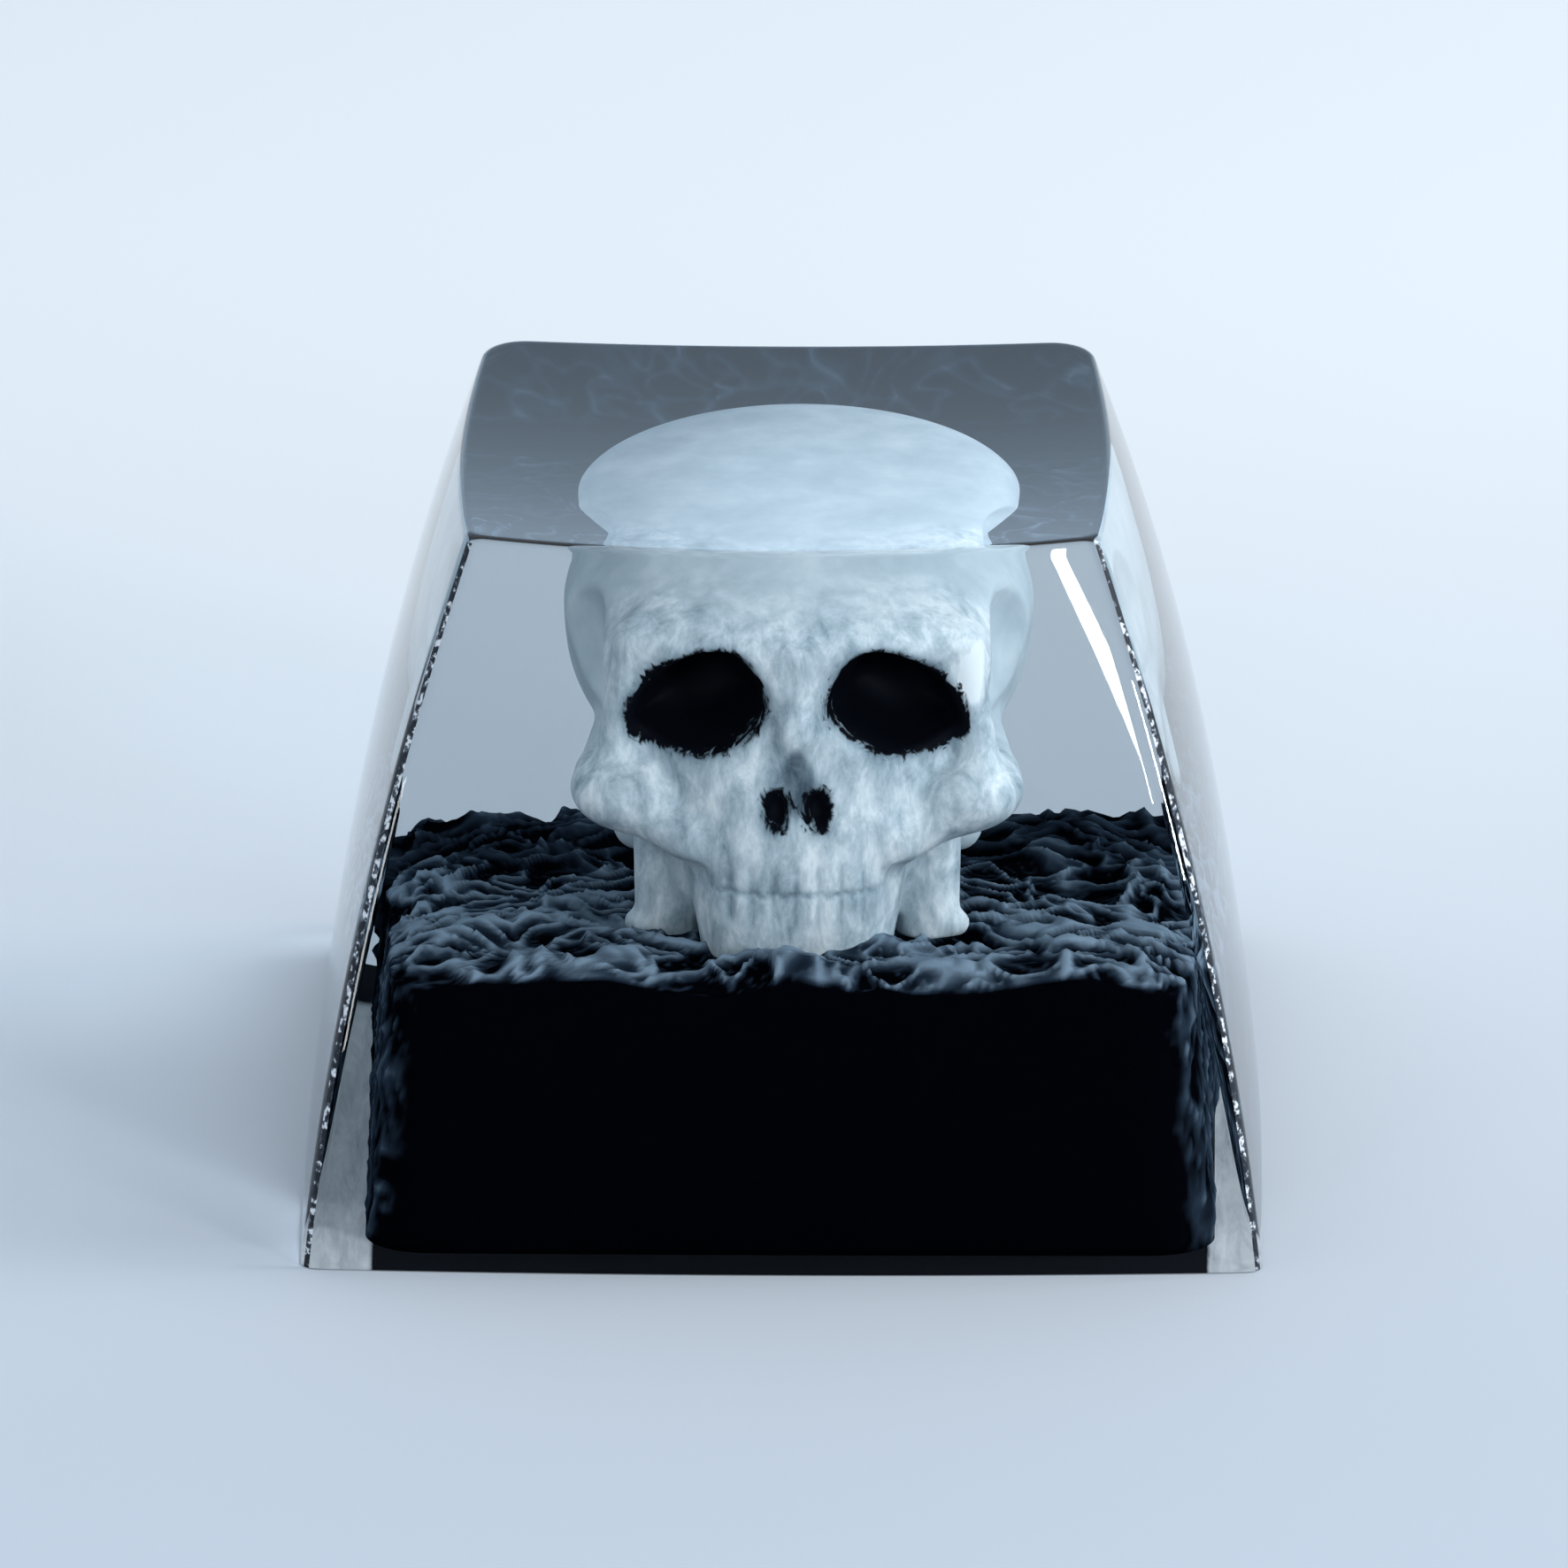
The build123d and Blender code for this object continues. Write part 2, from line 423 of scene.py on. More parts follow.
def resin_mesh(side_count=90, corner_count=14, wall_rows=110, dish_rows=70):
    """Points and faces of the closed resin, and the kind of each face."""
    rings = resin_rings(side_count, corner_count, wall_rows, dish_rows)
    step = side_count + corner_count
    count = 4 * step
    dish_middle = float(dish_height(0.0, 0.0))
    points = np.concatenate(rings + [[(0.0, 0.0, inner_peak)], [(0.0, 0.0, dish_middle)]])
    kinds = np.full((len(rings) - 1, count), CLEAR)
    base = len(inner_wall) - 1
    walls = len(inner_wall) + 1
    kinds[base:walls] = SANDED
    right_edge = side_count + corner_count // 2
    left_edge = 3 * step + right_edge
    # Columns along the two front edges take the painted dark band and painted glints
    for edge in (right_edge, left_edge):
        kinds[walls:walls + wall_rows - 1, edge - edge_shade_glint_columns:edge + edge_shade_glint_columns] = EDGE_SHADE_GLINTS
    closing = np.full(2 * count, CLEAR)
    return points, ring_faces(len(rings), count), np.concatenate([kinds.ravel(), closing])


def polar_square(angle, half, radius):
    """Distance from the middle to a rounded square, along each angle."""
    c = np.abs(np.cos(angle))
    s = np.abs(np.sin(angle))
    flat = half / np.maximum(c, s)
    inner = half - radius
    along = inner * (c + s)
    arc = along + np.sqrt(np.maximum(along**2 - 2 * inner**2 + radius**2, 0.0))
    on_arc = (flat * c > inner) & (flat * s > inner)
    return np.where(on_arc, arc, flat)


def polar_cross(angle):
    """Distance from the middle to the outline of the cross slot, along each angle."""
    c = np.abs(np.cos(angle)) + TINY
    s = np.abs(np.sin(angle)) + TINY
    arm_x = np.minimum(cross_half / c, cross_bar_half_x / s)
    arm_y = np.minimum(cross_half / s, cross_bar_half_y / c)
    return np.maximum(arm_x, arm_y)


def rock_node(i, j):
    """Height of a corner of the rock's facets, as in the solids."""
    last = rock_cells + 2
    ridge = rock_relief_height * np.sin(ridge_turn * i + ridge_skew * j * j)
    edges = (i <= 0).astype(float) + (i >= last) + (j <= 0) + (j >= last)
    y = rock_pitch * (j - last / 2)
    return rock_height - rock_fall * y + ridge - edges * rock_edge_slope * rock_pitch


def rock_top(x, y):
    """Height of the rock's top, crumpled into flat facets and lowered at its back corners."""
    across = x / rock_pitch + rock_cells / 2 + 1
    along = y / rock_pitch + rock_cells / 2 + 1
    i, j = np.floor(across), np.floor(along)
    u, v = across - i, along - j
    near = rock_node(i, j)
    right = rock_node(i + 1, j)
    far = rock_node(i + 1, j + 1)
    left = rock_node(i, j + 1)
    rising = np.where(u >= v, near + u * (right - near) + v * (far - right),
                      near + v * (left - near) + u * (far - left))
    falling = np.where(u + v <= 1, near + u * (right - near) + v * (left - near),
                       far + (1 - u) * (left - far) + (1 - v) * (right - far))
    beside = smooth_step(rock_half - corner_fall_width, rock_half, np.abs(x))
    lowered = beside * smooth_step(*corner_fall_span, y)
    return np.where((i + j) % 2 == 1, rising, falling) - corner_fall * lowered


def ridge_line(place, ridge):
    """1 on the crest of a ridge and 0 away from it, from one octave of noise."""
    ripple = noise.noise(place * ridge.scale + Vector((ridge.skip, 0.0, 0.0)))
    return max(0.0, 1 - ridge_sharpness * abs(ripple))


def rock_relief(points, normals):
    """How far the rock stands out of its facets, and where its ridges have their crests, with the
    brightness of the painted highlight there.
    """
    front = smooth_step(*front_facing, -normals[:, 1])
    up = smooth_step(*up_facing, normals[:, 2])
    depth = np.zeros(len(points))
    crest = np.zeros(len(points))
    for i, point in enumerate(points):
        spot = Vector(point)
        warp_x = noise.noise(spot * warp_scale)
        warp_y = noise.noise(spot * warp_scale + warp_skip)
        place = spot + Vector((warp_x, warp_y, 0.0)) * warp_reach
        for ridge in ridges:
            line = ridge_line(place, ridge)
            depth[i] += ridge.height * line**ridge.power
            crest[i] += ridge.crest * line**crest_power
    share = (wall_relief + (1 - wall_relief) * up) * (1 - front_flatness * front)
    # Painted shade dims the crest highlights behind the skull; they are weaker on the walls and absent on
    # the front wall
    lit = back_crest + (1 - back_crest) * smooth_step(*crest_fade, points[:, 1])
    pale = crest * lit * (wall_crest + (1 - wall_crest) * up) * (1 - front)
    return (depth - ridge_middle) * share, pale


def rock_outside(angle, wall_rows, top_rows):
    """Rings up the rock's walls and in over its top, before it has its ridges."""
    def wall(z):
        return polar_ring(angle, polar_square(angle, core_half - core_lean * z, core_corner), z)

    rim_z = np.full(len(angle), rock_height)
    for _ in range(rock_rim_passes):
        rim = wall(rim_z)
        rim_z = rock_top(rim[:, 0], rim[:, 1])
    rings = [wall((rim_z - rock_rim_round) * row / (wall_rows - 1)) for row in range(wall_rows)]
    inward = 1 - rock_rim_round / np.hypot(rim[:, 0], rim[:, 1])
    end_x, end_y = rim[:, 0] * inward, rim[:, 1] * inward
    start = rings[-1]
    end = ring(end_x, end_y, rock_top(end_x, end_y))
    rings += [bend(start, rim, end, share) for share in rock_rim_shares]
    shares = [1 - row / top_rows for row in range(1, top_rows)]
    return np.array(rings + inward_rings(end_x, end_y, shares, rock_top))


def add_ridges(grid):
    """The rock's outside with its ridges, and the painted highlights on their crests."""
    along = np.roll(grid, -1, axis=1) - np.roll(grid, 1, axis=1)
    normal = np.cross(along, np.gradient(grid, axis=0))
    normal /= np.linalg.norm(normal, axis=2, keepdims=True) + LEAST
    relief, crest = rock_relief(grid.reshape(-1, 3), normal.reshape(-1, 3))
    relief = relief.reshape(grid.shape[:2]) * smooth_step(0.0, ridge_foot, grid[:, :, 2])
    return grid + normal * relief[:, :, None], crest


def rock_underside(angle):
    """Rings from the top of the cross slot over the stem and the pocket to the foot of the walls."""
    slot = polar_cross(angle)
    pocket = polar_square(angle, pocket_half, pocket_corner)
    profile = (
        (slot, cross_top),
        (slot, stem_recess + edge_soft),
        (slot + edge_soft, stem_recess),
        (stem_radius - edge_soft, stem_recess),
        (stem_radius, stem_recess + edge_soft),
        (stem_radius, pocket_depth - edge_soft),
        (stem_radius + edge_soft, pocket_depth),
        (polar_square(angle, pocket_half - pocket_bevel, pocket_corner), pocket_depth),
        (pocket, pocket_depth - pocket_bevel),
        (pocket, edge_soft),
        (polar_square(angle, pocket_half + edge_soft, pocket_corner), base_lift),
        (polar_square(angle, core_half - edge_soft, core_corner), base_lift),
    )
    return [polar_ring(angle, reach, z) for reach, z in profile]


def rock_mesh(count=600, wall_rows=28, top_rows=96):
    """Points and faces of the closed rock, the painted highlights on its crests, and which faces are shaded
    smooth.
    """
    angle = 2 * math.pi * np.arange(count) / count
    under = rock_underside(angle)
    grid, crest = add_ridges(rock_outside(angle, wall_rows, top_rows))
    shift = np.array([core_shift, 0.0, 0.0])
    rings = under[:-1] + [row + shift for row in [under[-1], *grid]]
    middle_top = float(rock_top(np.zeros(1), np.zeros(1))[0])
    points = np.concatenate(rings + [[(0.0, 0.0, cross_top)], [(core_shift, 0.0, middle_top)]])
    crest = np.concatenate([np.zeros(len(under) * count), crest, [0.0, 0.0]])
    faces = ring_faces(len(rings), count)

    # The underside and the fan that closes the slot keep their sharp edges
    rounded = np.ones(len(faces), bool)
    rounded[:len(under) * count] = False
    rounded[(len(rings) - 1) * count::2] = False
    return points, faces, crest, rounded


def egg_field(x, y, z, egg):
    """Signed distance, nearly, to an ellipsoid."""
    place, size = egg.place, egg.size
    u, v, w = (x - place[0]) / size[0], (y - place[1]) / size[1], (z - place[2]) / size[2]
    near = np.sqrt(u * u + v * v + w * w)
    slope = np.sqrt((u / size[0]) ** 2 + (v / size[1]) ** 2 + (w / size[2]) ** 2)
    return near * (near - 1) / (slope + TINY)


def bar_field(x, y, z, bar):
    """Signed distance to a round bar with round ends."""
    run = np.subtract(bar.end, bar.start)
    dx, dy, dz = x - bar.start[0], y - bar.start[1], z - bar.start[2]
    share = np.clip((dx * run[0] + dy * run[1] + dz * run[2]) / run.dot(run), 0.0, 1.0)
    away_x = dx - run[0] * share
    away_y = dy - run[1] * share
    away_z = dz - run[2] * share
    return np.sqrt(away_x**2 + away_y**2 + away_z**2) - bar.radius


def form_field(x, y, z, form):
    """Signed distance to one of the skull's rounded forms."""
    if isinstance(form, Egg):
        return egg_field(x, y, z, form)
    return bar_field(x, y, z, form)


def merge(a, b, soft):
    """The union of two fields with a soft join."""
    share = np.clip(0.5 + 0.5 * (b - a) / soft, 0.0, 1.0)
    return b * (1 - share) + a * share - soft * share * (1 - share)


def carve(a, b, soft):
    """Field a with field b cut out, with a soft edge."""
    return -merge(-a, b, soft)


def smooth_loop(points, steps=8):
    """A closed curve through a few points."""
    p1 = np.array(points, float)
    p0, p2, p3 = np.roll(p1, 1, 0), np.roll(p1, -1, 0), np.roll(p1, -2, 0)
    curve = []
    for k in range(steps):
        t = k / steps
        curve.append(0.5 * (2 * p1 + (p2 - p0) * t + (2 * p0 - 5 * p1 + 4 * p2 - p3) * t * t
                            + (3 * p1 - p0 - 3 * p2 + p3) * t**3))
    return np.stack(curve, axis=1).reshape(-1, 2)


def loop_distance(x, z, loop):
    """Signed distance in the face plane to a closed loop, negative inside."""
    best = np.full(x.shape, np.inf)
    inside = np.zeros(x.shape, bool)
    for a, b in zip(loop, np.roll(loop, -1, 0)):
        run = b - a
        share = np.clip(((x - a[0]) * run[0] + (z - a[1]) * run[1]) / run.dot(run), 0.0, 1.0)
        best = np.minimum(best, np.hypot(x - a[0] - run[0] * share, z - a[1] - run[1] * share))
        side = (b[0] - a[0]) * (z - a[1]) / (b[1] - a[1] + LEAST) + a[0]
        inside ^= ((a[1] > z) != (b[1] > z)) & (x < side)
    return np.where(inside, -best, best)


def head_field(x, y, z):
    """Cranium, face and chin: egg-shaped sections, then a round crown."""
    heights, halves, fronts, backs = np.array(face_sections).T
    kernel = np.ones(section_blur) / section_blur

    def profile(values):
        row = np.pad(np.interp(z, heights, values), section_blur // 2, mode="edge")
        return np.convolve(row, kernel, mode="valid")[None, None, :]

    half, front, back = profile(halves), profile(fronts), profile(backs)
    height = z[None, None, :]
    u = x[:, None, None] / half
    v = (y[None, :, None] - (front + back) / 2) / ((back - front) / 2)
    front_shape = front_power - crown_rounding * smooth_step(*crown_rounding_span, height)
    power = np.where(v < 0, front_shape, back_power)
    flat = (np.abs(u) ** power + np.abs(v) ** power) ** (1 / power)
    rise = np.clip((height - heights[-1]) / crown_rise, 0.0, None)
    value = (flat**crown_power + rise**crown_power) ** (1 / crown_power) - 1
    slope = np.gradient(value, x[1] - x[0], y[1] - y[0], z[1] - z[0])
    length = np.sqrt(sum(part * part for part in slope))
    return value / np.maximum(length, least_slope)


def socket_field(x, y, z):
    """The eye socket of the +X side, narrowing inwards."""
    across, up = np.meshgrid(x, z, indexing="ij")
    flat = loop_distance(across, up, smooth_loop(socket_outline))
    wall = flat[:, None, :] + socket_taper * (y[None, :, None] - socket_rim)
    floor = y[None, :, None] - socket_back
    return -merge(-wall, -floor, socket_floor_soft)


def tooth_lines(x, y, z):
    """1 along the mouth and between the teeth, 0 elsewhere."""
    bite = mouth_height + mouth_wave * np.cos(2 * math.pi * x / tooth_pitch)
    lines = np.exp(-(((z - bite) / groove_half) ** 2)) * smooth_step(*mouth_end, x)
    window = smooth_step(*tooth_foot, z) * smooth_step(*tooth_top, z)
    for i in range(tooth_gaps):
        gap = np.exp(-(((x - tooth_pitch * i) / groove_half) ** 2))
        lines = np.maximum(lines, tooth_gap_strength * window * gap)
    return lines * smooth_step(*tooth_front, y)


def skull_field(x, y, z):
    """The whole skull on a grid, mirrored across its middle by taking X without its sign."""
    beside = np.abs(x)
    grid = np.meshgrid(beside, y, z, indexing="ij", sparse=True)
    across, along, height = grid
    field = head_field(x, y, z)
    middle = braincase.place[2]
    squashed = middle + (height - middle) * np.where(height < middle, braincase_squash, 1.0)
    field = merge(field, form_field(across, along, squashed, braincase), braincase.soft)
    field = merge(field, form_field(*grid, brow), brow.soft)
    field = carve(field, form_field(*grid, temple), temple.soft)
    joined = (socket_side, cheekbone, upper_jaw, cheek_arch, jaw_upright, jaw_corner, ear_lobe, nose_ridge)
    for form in joined:
        field = merge(field, form_field(*grid, form), form.soft)
    field = carve(field, form_field(*grid, cheek_hollow), cheek_hollow.soft)
    field = carve(field, socket_field(beside, y, z), socket_soft)
    for form in (nose_hollow, nostril):
        field = carve(field, form_field(*grid, form), form.soft)
    field = field + groove_depth * tooth_lines(*grid)
    return np.maximum(field, skull_floor - height)


def net_points(field):
    """A point in each cell that the zero level of a field crosses, in cells, and the points' numbers."""
    cells = tuple(n - 1 for n in field.shape)
    total = np.zeros(cells + (3,))
    hits = np.zeros(cells)
    for axis in range(3):
        others = [a for a in range(3) if a != axis]
        for corner in ((0, 0), (0, 1), (1, 0), (1, 1)):
            low = [0, 0, 0]
            low[others[0]], low[others[1]] = corner
            high = list(low)
            high[axis] = 1
            a = field[tuple(slice(o, o + n) for o, n in zip(low, cells))]
            b = field[tuple(slice(o, o + n) for o, n in zip(high, cells))]
            cross = (a < 0) != (b < 0)
            share = np.where(cross, a / np.where(cross, a - b, 1.0), 0.0)
            hits += cross
            for k in range(3):
                total[..., k] += cross * (low[k] + (share if k == axis else 0.0))
    used = hits > 0
    number = np.full(cells, -1)
    number[used] = np.arange(used.sum())
    return total[used] / hits[used][:, None] + np.argwhere(used), number


def net_faces(field, number):
    """Quads round the grid lines that the zero level of a field crosses, facing outwards."""
    cells = number.shape
    faces = []
    for axis, (b_axis, c_axis) in enumerate(((1, 2), (2, 0), (0, 1))):
        low = np.delete(field, -1, axis)
        high = np.delete(field, 0, axis)
        cross = np.argwhere((low < 0) != (high < 0))
        keep = (cross[:, b_axis] > 0) & (cross[:, c_axis] > 0)
        keep &= (cross[:, b_axis] < cells[b_axis]) & (cross[:, c_axis] < cells[c_axis])
        cross = cross[keep]
        quad = []
        for db, dc in ((1, 1), (0, 1), (0, 0), (1, 0)):
            cell = cross.copy()
            cell[:, b_axis] -= db
            cell[:, c_axis] -= dc
            quad.append(number[tuple(cell.T)])
        quad = np.stack(quad, axis=1)
        flip = low[tuple(cross.T)] >= 0
        quad[flip] = quad[flip][:, ::-1]
        faces.append(quad)
    return np.concatenate(faces)


def skull_mesh():
    """Points and quads of the skull, before it is shifted to its place in the cap."""
    x, y, z = (np.arange(low, high + skull_step, skull_step) for low, high in skull_box)
    field = skull_field(x, y, z)
    cells, number = net_points(field)
    return np.array((x[0], y[0], z[0])) + cells * skull_step, net_faces(field, number)


def paint_masks(points):
    """For points of the skull: distance to the black paint, grime with a painted highlight taken off it,
    and how far strokes show.
    """
    x, y, z = np.abs(points[:, 0]), points[:, 1], points[:, 2]
    socket = loop_distance(x, z, smooth_loop(socket_outline))
    socket = socket + paint_push * smooth_step(*socket_paint_end, y)
    across = (x - nostril.place[0]) / nostril.size[0]
    up = (z - nostril.place[2]) / nostril.size[2]
    hole = nostril_paint_scale * (np.hypot(across, up) - 1)
    hole = hole + paint_push * smooth_step(*nostril_paint_end, y)
    edge = np.clip(np.minimum(socket, hole), -paint_edge_limit, paint_edge_limit)

    nose = smooth_step(*nose_half, x / np.clip(nose_top[0] - z, *nose_widths))
    nose = nose * smooth_step(*nose_top, z) * smooth_step(*nose_foot, z)
    grime_and_highlight = nose_grime * nose * smooth_step(*nose_front, y)
    grime_and_highlight = np.maximum(grime_and_highlight, tooth_grime * tooth_lines(x, y, z))
    grime_and_highlight = np.maximum(grime_and_highlight, halo_grime * np.exp(-np.maximum(edge, 0.0) / halo_width))
    # A painted highlight on the temple of the +X side lowers the grime, so the paint turns lighter there
    highlight_x = (points[:, 0] - highlight_place[0]) / highlight_size[0]
    highlight_z = (z - highlight_place[1]) / highlight_size[1]
    highlight = np.exp(-(highlight_x**2) - highlight_z**2)
    grime_and_highlight = grime_and_highlight - highlight_strength * highlight * smooth_step(*highlight_front, y)

    strokes = (1 - stroke_least) * smooth_step(*stroke_front, y) * smooth_step(*stroke_top, z)
    return edge, grime_and_highlight, stroke_least + strokes


def add_float(piece, name, values):
    """A named number at each point of a mesh, for its material."""
    layer = piece.data.attributes.new(name, "FLOAT", "POINT")
    layer.data.foreach_set("value", np.asarray(values, np.float32))


def new_material(name):
    """An empty node material with its Principled shader."""
    material = bpy.data.materials.new(name)
    material.use_nodes = True
    return material, material.node_tree, material.node_tree.nodes["Principled BSDF"]


def add_node(tree, kind, **values):
    """A node with some of its inputs or settings given."""
    node = tree.nodes.new(kind)
    for name, value in values.items():
        if name in node.inputs:
            node.inputs[name].default_value = value
        else:
            setattr(node, name, value)
    return node


def calculate(tree, operation, *terms):
    """A Math node over sockets and plain numbers."""
    node = add_node(tree, "ShaderNodeMath", operation=operation)
    for slot, term in zip(node.inputs, terms):
        if isinstance(term, (int, float)):
            slot.default_value = term
        else:
            tree.links.new(term, slot)
    return node.outputs[0]


def soft_range(tree, value, low, high, top=1.0):
    """0 at low and the top value at high, with a soft ramp between them."""
    node = add_node(tree, "ShaderNodeMapRange", interpolation_type="SMOOTHSTEP")
    node.inputs["From Min"].default_value = low
    node.inputs["From Max"].default_value = high
    node.inputs["To Max"].default_value = top
    tree.links.new(value, node.inputs["Value"])
    return node.outputs["Result"]


def point_value(tree, name):
    """A named number of the mesh."""
    return add_node(tree, "ShaderNodeAttribute", attribute_name=name).outputs["Fac"]


def object_place(tree):
    """X, Y and Z in the object's own frame, in metres."""
    place = add_node(tree, "ShaderNodeTexCoord")
    split = add_node(tree, "ShaderNodeSeparateXYZ")
    tree.links.new(place.outputs["Object"], split.inputs[0])
    return split.outputs


def noise_value(tree, scale, detail, roughness, distortion=0.0, stretch=(1.0, 1.0, 1.0)):
    """Noise fixed to the object, in ripples per metre."""
    place = add_node(tree, "ShaderNodeTexCoord")
    squeeze = add_node(tree, "ShaderNodeMapping", Scale=stretch)
    grain = add_node(tree, "ShaderNodeTexNoise", Scale=scale, Detail=detail, Roughness=roughness,
                     Distortion=distortion)
    tree.links.new(place.outputs["Object"], squeeze.inputs["Vector"])
    tree.links.new(squeeze.outputs["Vector"], grain.inputs["Vector"])
    return grain.outputs["Fac"]


def colour_ramp(tree, value, stops):
    """Colours at positions along a value."""
    node = add_node(tree, "ShaderNodeValToRGB")
    marks = node.color_ramp.elements
    while len(marks) < len(stops):
        marks.new(0.5)
    for mark, (position, colour) in zip(marks, stops):
        mark.position = position
        mark.color = colour + (1.0,)
    tree.links.new(value, node.inputs["Fac"])
    return node.outputs["Color"]


def show_mixed(tree, share, first, second):
    """The surface: the first shader where a share is 0 and the second where it is 1."""
    mix = add_node(tree, "ShaderNodeMixShader")
    for slot, source in zip(mix.inputs, (share, first.outputs[0], second.outputs[0])):
        tree.links.new(source, slot)
    tree.links.new(mix.outputs[0], tree.nodes["Material Output"].inputs["Surface"])


def resin_material():
    """Clear polished resin with a faint grey-blue depth, which lets the lamps through to what is inside."""
    material, tree, shader = new_material("clear_resin")
    shader.inputs["Base Color"].default_value = (0.97, 0.985, 1.0, 1.0)
    shader.inputs["Roughness"].default_value = 0.01
    shader.inputs["IOR"].default_value = 1.5
    shader.inputs["Transmission Weight"].default_value = 1.0
    clear = add_node(tree, "ShaderNodeBsdfTransparent", Color=(0.78, 0.83, 0.88, 1.0))
    path = add_node(tree, "ShaderNodeLightPath")
    show_mixed(tree, path.outputs["Is Shadow Ray"], shader, clear)
    depth = add_node(tree, "ShaderNodeVolumeAbsorption", Color=(0.20, 0.31, 0.36, 1.0), Density=35.0)
    tree.links.new(depth.outputs[0], tree.nodes["Material Output"].inputs["Volume"])
    return material


def sanded_material():
    """The base of the resin: sanded and scratched beside the rock, black before and behind it."""
    material, tree, shader = new_material("sanded_resin")
    shader.inputs["Roughness"].default_value = 0.7
    shader.inputs["Specular IOR Level"].default_value = 0.0
    place = object_place(tree)
    scratch = noise_value(tree, scale=3500.0, detail=4.0, roughness=0.7, distortion=0.4,
                          stretch=(1.0, 0.12, 1.0))
    ahead = soft_range(tree, place["Y"], *sanded_back)
    across = calculate(tree, "SUBTRACT", place["X"], core_shift * MM)
    beside = soft_range(tree, calculate(tree, "ABSOLUTE", across), *sanded_side)
    sanded = calculate(tree, "MULTIPLY", ahead, beside)
    tone = colour_ramp(tree, calculate(tree, "MULTIPLY", scratch, sanded), (
        (0.1, (0.01, 0.012, 0.016)),
        (0.35, (0.50, 0.55, 0.60)),
        (0.7, (0.80, 0.85, 0.88)),
    ))
    tree.links.new(tone, shader.inputs["Base Color"])
    return material


def edge_shade_glint_material():
    """The front edges: a dark line painted as shade along the rounded clear edge, with pale chips that are
    painted glints.
    """
    material, tree, shader = new_material("painted_edge_shade_and_glints")
    shader.inputs["Roughness"].default_value = 0.4
    # The dark line is painted shade and the pale chips are painted glints
    glints = noise_value(tree, scale=6500.0, detail=3.0, roughness=0.6)
    patches = noise_value(tree, scale=700.0, detail=3.0, roughness=0.6)
    raised = calculate(tree, "ADD", glints, glint_lift)
    tone = colour_ramp(tree, calculate(tree, "MULTIPLY_ADD", patches, patch_strength, raised), (
        (0.50, (0.012, 0.016, 0.026)),
        (0.56, (0.10, 0.13, 0.17)),
        (0.62, (0.75, 0.80, 0.86)),
    ))
    tree.links.new(tone, shader.inputs["Base Color"])
    return material


def rock_material():
    """Black cast resin, with a painted blue-grey highlight on the crests of its ridges."""
    material, tree, shader = new_material("black_rock")
    shader.inputs["Roughness"].default_value = 0.5
    shader.inputs["Specular IOR Level"].default_value = 0.0
    # The crest values become a painted highlight, made uneven by the grain
    grain = noise_value(tree, scale=2600.0, detail=5.0, roughness=0.65)
    crest_shine = calculate(tree, "MULTIPLY_ADD", grain, crest_shine_grain, crest_shine_least)
    crest_shine = calculate(tree, "MULTIPLY", point_value(tree, "crest"), crest_shine)
    tone = colour_ramp(tree, crest_shine, (
        (0.03, (0.0008, 0.0011, 0.0022)),
        (0.18, (0.018, 0.030, 0.048)),
        (0.65, (0.18, 0.25, 0.32)),
    ))
    tree.links.new(tone, shader.inputs["Base Color"])
    return material


def skull_material():
    """White hand paint in short strokes, with black sockets and nostrils that have brushed edges."""
    material, tree, shader = new_material("skull_paint")
    shader.inputs["Roughness"].default_value = 0.6
    shader.inputs["Specular IOR Level"].default_value = 0.05
    mottle = noise_value(tree, scale=800.0, detail=4.0, roughness=0.55)
    strokes = noise_value(tree, scale=2300.0, detail=7.0, roughness=0.68, distortion=0.3,
                          stretch=(1.0, 1.0, 0.5))
    bristles = noise_value(tree, scale=4200.0, detail=3.0, roughness=0.6, distortion=1.0,
                           stretch=(1.0, 1.0, 0.6))
    stroke_part = calculate(tree, "SUBTRACT", strokes, noise_middle)
    stroke_part = calculate(tree, "MULTIPLY", stroke_part, point_value(tree, "face"))
    paint = calculate(tree, "SUBTRACT", mottle, noise_middle)
    paint = calculate(tree, "MULTIPLY_ADD", paint, mottle_strength, paint_middle)
    paint = calculate(tree, "MULTIPLY_ADD", stroke_part, stroke_strength, paint)
    # The grime darkens the paint; where the painted highlight makes it negative, it lightens the paint
    smear_and_highlight = calculate(tree, "ADD", strokes, smear_and_highlight_least)
    smear_and_highlight = calculate(tree, "MULTIPLY", point_value(tree, "grime_and_highlight"), smear_and_highlight)
    paint = calculate(tree, "MULTIPLY_ADD", smear_and_highlight, smear_and_highlight_strength, paint)
    tone = colour_ramp(tree, paint, (
        (0.0, (0.06, 0.09, 0.12)),
        (0.28, (0.26, 0.345, 0.40)),
        (0.5, (0.47, 0.565, 0.62)),
        (0.72, (0.76, 0.83, 0.86)),
    ))
    ragged = calculate(tree, "SUBTRACT", bristles, noise_middle)
    brush = calculate(tree, "MULTIPLY_ADD", ragged, bristle_strength, point_value(tree, "edge"))
    black = soft_range(tree, brush, *brush_edge)
    mix = add_node(tree, "ShaderNodeMix", data_type="RGBA")
    mix.inputs["B"].default_value = (0.002, 0.003, 0.006, 1.0)
    tree.links.new(black, mix.inputs["Factor"])
    tree.links.new(tone, mix.inputs["A"])
    tree.links.new(mix.outputs["Result"], shader.inputs["Base Color"])
    return material


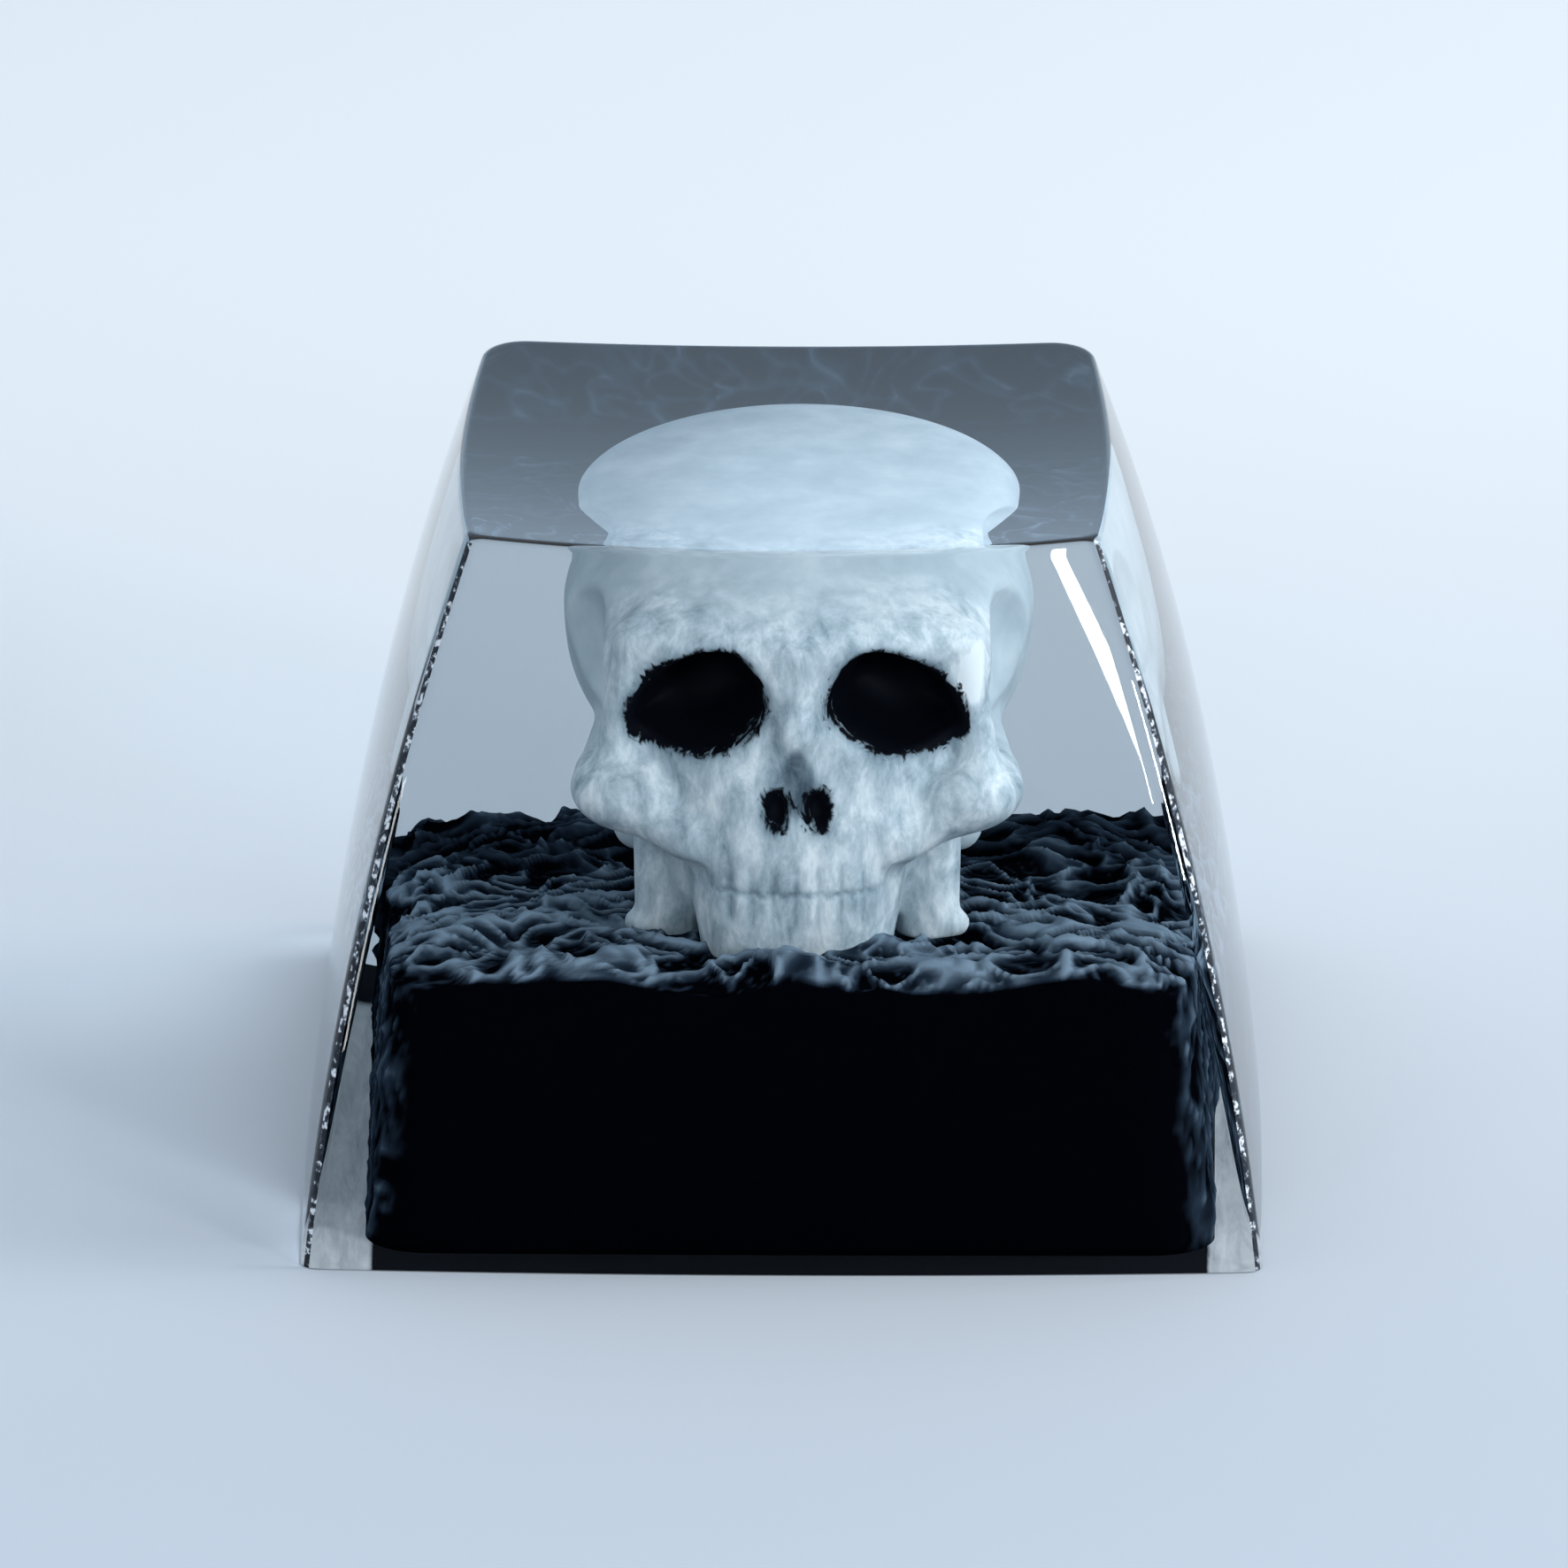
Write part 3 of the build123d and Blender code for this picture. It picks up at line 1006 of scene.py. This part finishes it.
def floor_material():
    """Pale blue paper, lighter towards the back, its darker front being painted shade; its front is kept
    out of mirror reflections.
    """
    material, tree, shader = new_material("pale_paper")
    shader.inputs["Roughness"].default_value = 0.9
    shader.inputs["Specular IOR Level"].default_value = 0.1
    along = object_place(tree)["Y"]
    # The darker front of the paper is painted shade
    tone = colour_ramp(tree, soft_range(tree, along, *floor_fade), (
        (0.0, (0.555, 0.62, 0.705)),
        (1.0, (0.84, 0.88, 0.91)),
    ))
    tree.links.new(tone, shader.inputs["Base Color"])
    path = add_node(tree, "ShaderNodeLightPath")
    mirrored = calculate(tree, "MULTIPLY", path.outputs["Is Glossy Ray"], path.outputs["Is Reflection Ray"])
    in_front = calculate(tree, "LESS_THAN", along, floor_mirror_front)
    dark = add_node(tree, "ShaderNodeBsdfDiffuse", Color=(0.0, 0.0, 0.0, 1.0))
    show_mixed(tree, calculate(tree, "MULTIPLY", mirrored, in_front), shader, dark)
    return material


def build_resin():
    """The clear cap, with its base ring shaded flat."""
    points, faces, kinds = resin_mesh()
    piece = make_object("clear_resin_cap", points, faces, resin_material())
    piece.data.materials.append(sanded_material())
    piece.data.materials.append(edge_shade_glint_material())
    piece.data.polygons.foreach_set("material_index", kinds.astype(np.int32))
    piece.data.polygons.foreach_set("use_smooth", kinds != SANDED)
    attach(piece, "root")
    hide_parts("clear_cap")


def build_rock():
    """The black rock base with its pocket and stem."""
    points, faces, crest, rounded = rock_mesh()
    piece = make_object("black_rock_base", points, faces, rock_material())
    piece.data.polygons.foreach_set("use_smooth", rounded)
    # The crest values carry the painted highlights
    add_float(piece, "crest", crest)
    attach(piece, "root")
    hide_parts("rock_base")


def build_skull():
    """The painted skull."""
    points, faces = skull_mesh()
    edge, grime_and_highlight, face = paint_masks(points)
    piece = make_object("painted_skull", points + np.array([skull_shift, 0, 0]), faces, skull_material())
    add_float(piece, "edge", edge)
    # The grime values carry the painted highlight as well
    add_float(piece, "grime_and_highlight", grime_and_highlight)
    add_float(piece, "face", face)
    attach(piece, "root")
    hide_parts("skull")


def build_floor():
    """A pale sheet of paper just under the cap."""
    signs = ((-1, -1), (1, -1), (1, 1), (-1, 1))
    corners = [(x * floor_reach, y * floor_reach, -floor_drop) for x, y in signs]
    piece = make_object("floor", corners, [(0, 1, 2, 3)], floor_material())


def add_lamp(name, place, size, power, target=(0, 0, 8), colour=white):
    """A soft lamp of a width and height aimed at a point, in millimetres."""
    data = bpy.data.lights.new(name, "AREA")
    data.shape = "RECTANGLE"
    data.size, data.size_y = size[0] * MM, size[1] * MM
    data.energy = power
    data.color = colour
    lamp = bpy.data.objects.new(name, data)
    lamp.location = Vector(place) * MM
    lamp.rotation_euler = (Vector(target) - Vector(place)).to_track_quat("-Z", "Y").to_euler()
    bpy.context.scene.collection.objects.link(lamp)
    return lamp


def build_sky():
    """A pale sky above and behind, dark towards the camera."""
    world = bpy.data.worlds.new("studio")
    world.use_nodes = True
    tree = world.node_tree
    sky = tree.nodes["Background"]
    place = add_node(tree, "ShaderNodeTexCoord")
    tilt = add_node(tree, "ShaderNodeVectorMath", operation="DOT_PRODUCT")
    tilt.inputs[1].default_value = sky_tilt
    split = add_node(tree, "ShaderNodeSeparateXYZ")
    tree.links.new(place.outputs["Generated"], tilt.inputs[0])
    tree.links.new(place.outputs["Generated"], split.inputs[0])
    bright = soft_range(tree, tilt.outputs["Value"], *sky_range, top=sky_strength)
    low = soft_range(tree, split.outputs["Z"], *low_sky)
    lift = calculate(tree, "MULTIPLY_ADD", low, low_sky_lift, 1.0)
    tree.links.new(calculate(tree, "MULTIPLY", bright, lift), sky.inputs["Strength"])
    tone = colour_ramp(tree, soft_range(tree, split.outputs["Z"], *pale_sky), (
        (0.0, (0.60, 0.79, 1.0)),
        (1.0, (0.88, 0.94, 1.0)),
    ))
    tree.links.new(tone, sky.inputs["Color"])
    bpy.context.scene.world = world


def build_lamps():
    """A soft key from the right, fills, and a strip that the front wall mirrors as a stripe."""
    add_lamp("key", place=(300, 40, 220), size=(110, 110), power=0.6, target=(0, 0, 6), colour=warm_white)
    add_lamp("left fill", place=(-250, -300, 70), size=(90, 90), power=0.24)
    add_lamp("right fill", place=(250, -260, 110), size=(60, 60), power=0.7)
    add_lamp("strip", place=(87, -560, 203), size=(5, 168), power=0.07)
    fill = add_lamp("front fill", place=(-60, -360, 195), size=(80, 80), power=0.14)
    fill.visible_glossy = False


def build_camera():
    """The photograph's view."""
    data = bpy.data.cameras.new("camera")
    data.lens = camera_lens
    data.sensor_width = camera_sensor
    data.clip_start = camera_near * MM
    camera = bpy.data.objects.new("camera", data)
    back = Vector((
        math.sin(camera_azimuth) * math.cos(camera_elevation),
        -math.cos(camera_azimuth) * math.cos(camera_elevation),
        math.sin(camera_elevation),
    ))
    camera.location = (Vector(camera_target) + back * camera_distance) * MM
    camera.rotation_euler = (-back).to_track_quat("-Z", "Y").to_euler()
    bpy.context.scene.collection.objects.link(camera)
    bpy.context.scene.camera = camera


bpy.context.scene.view_settings.view_transform = "Standard"
build_camera()
build_floor()
build_sky()
build_lamps()
build_resin()
build_rock()
build_skull()
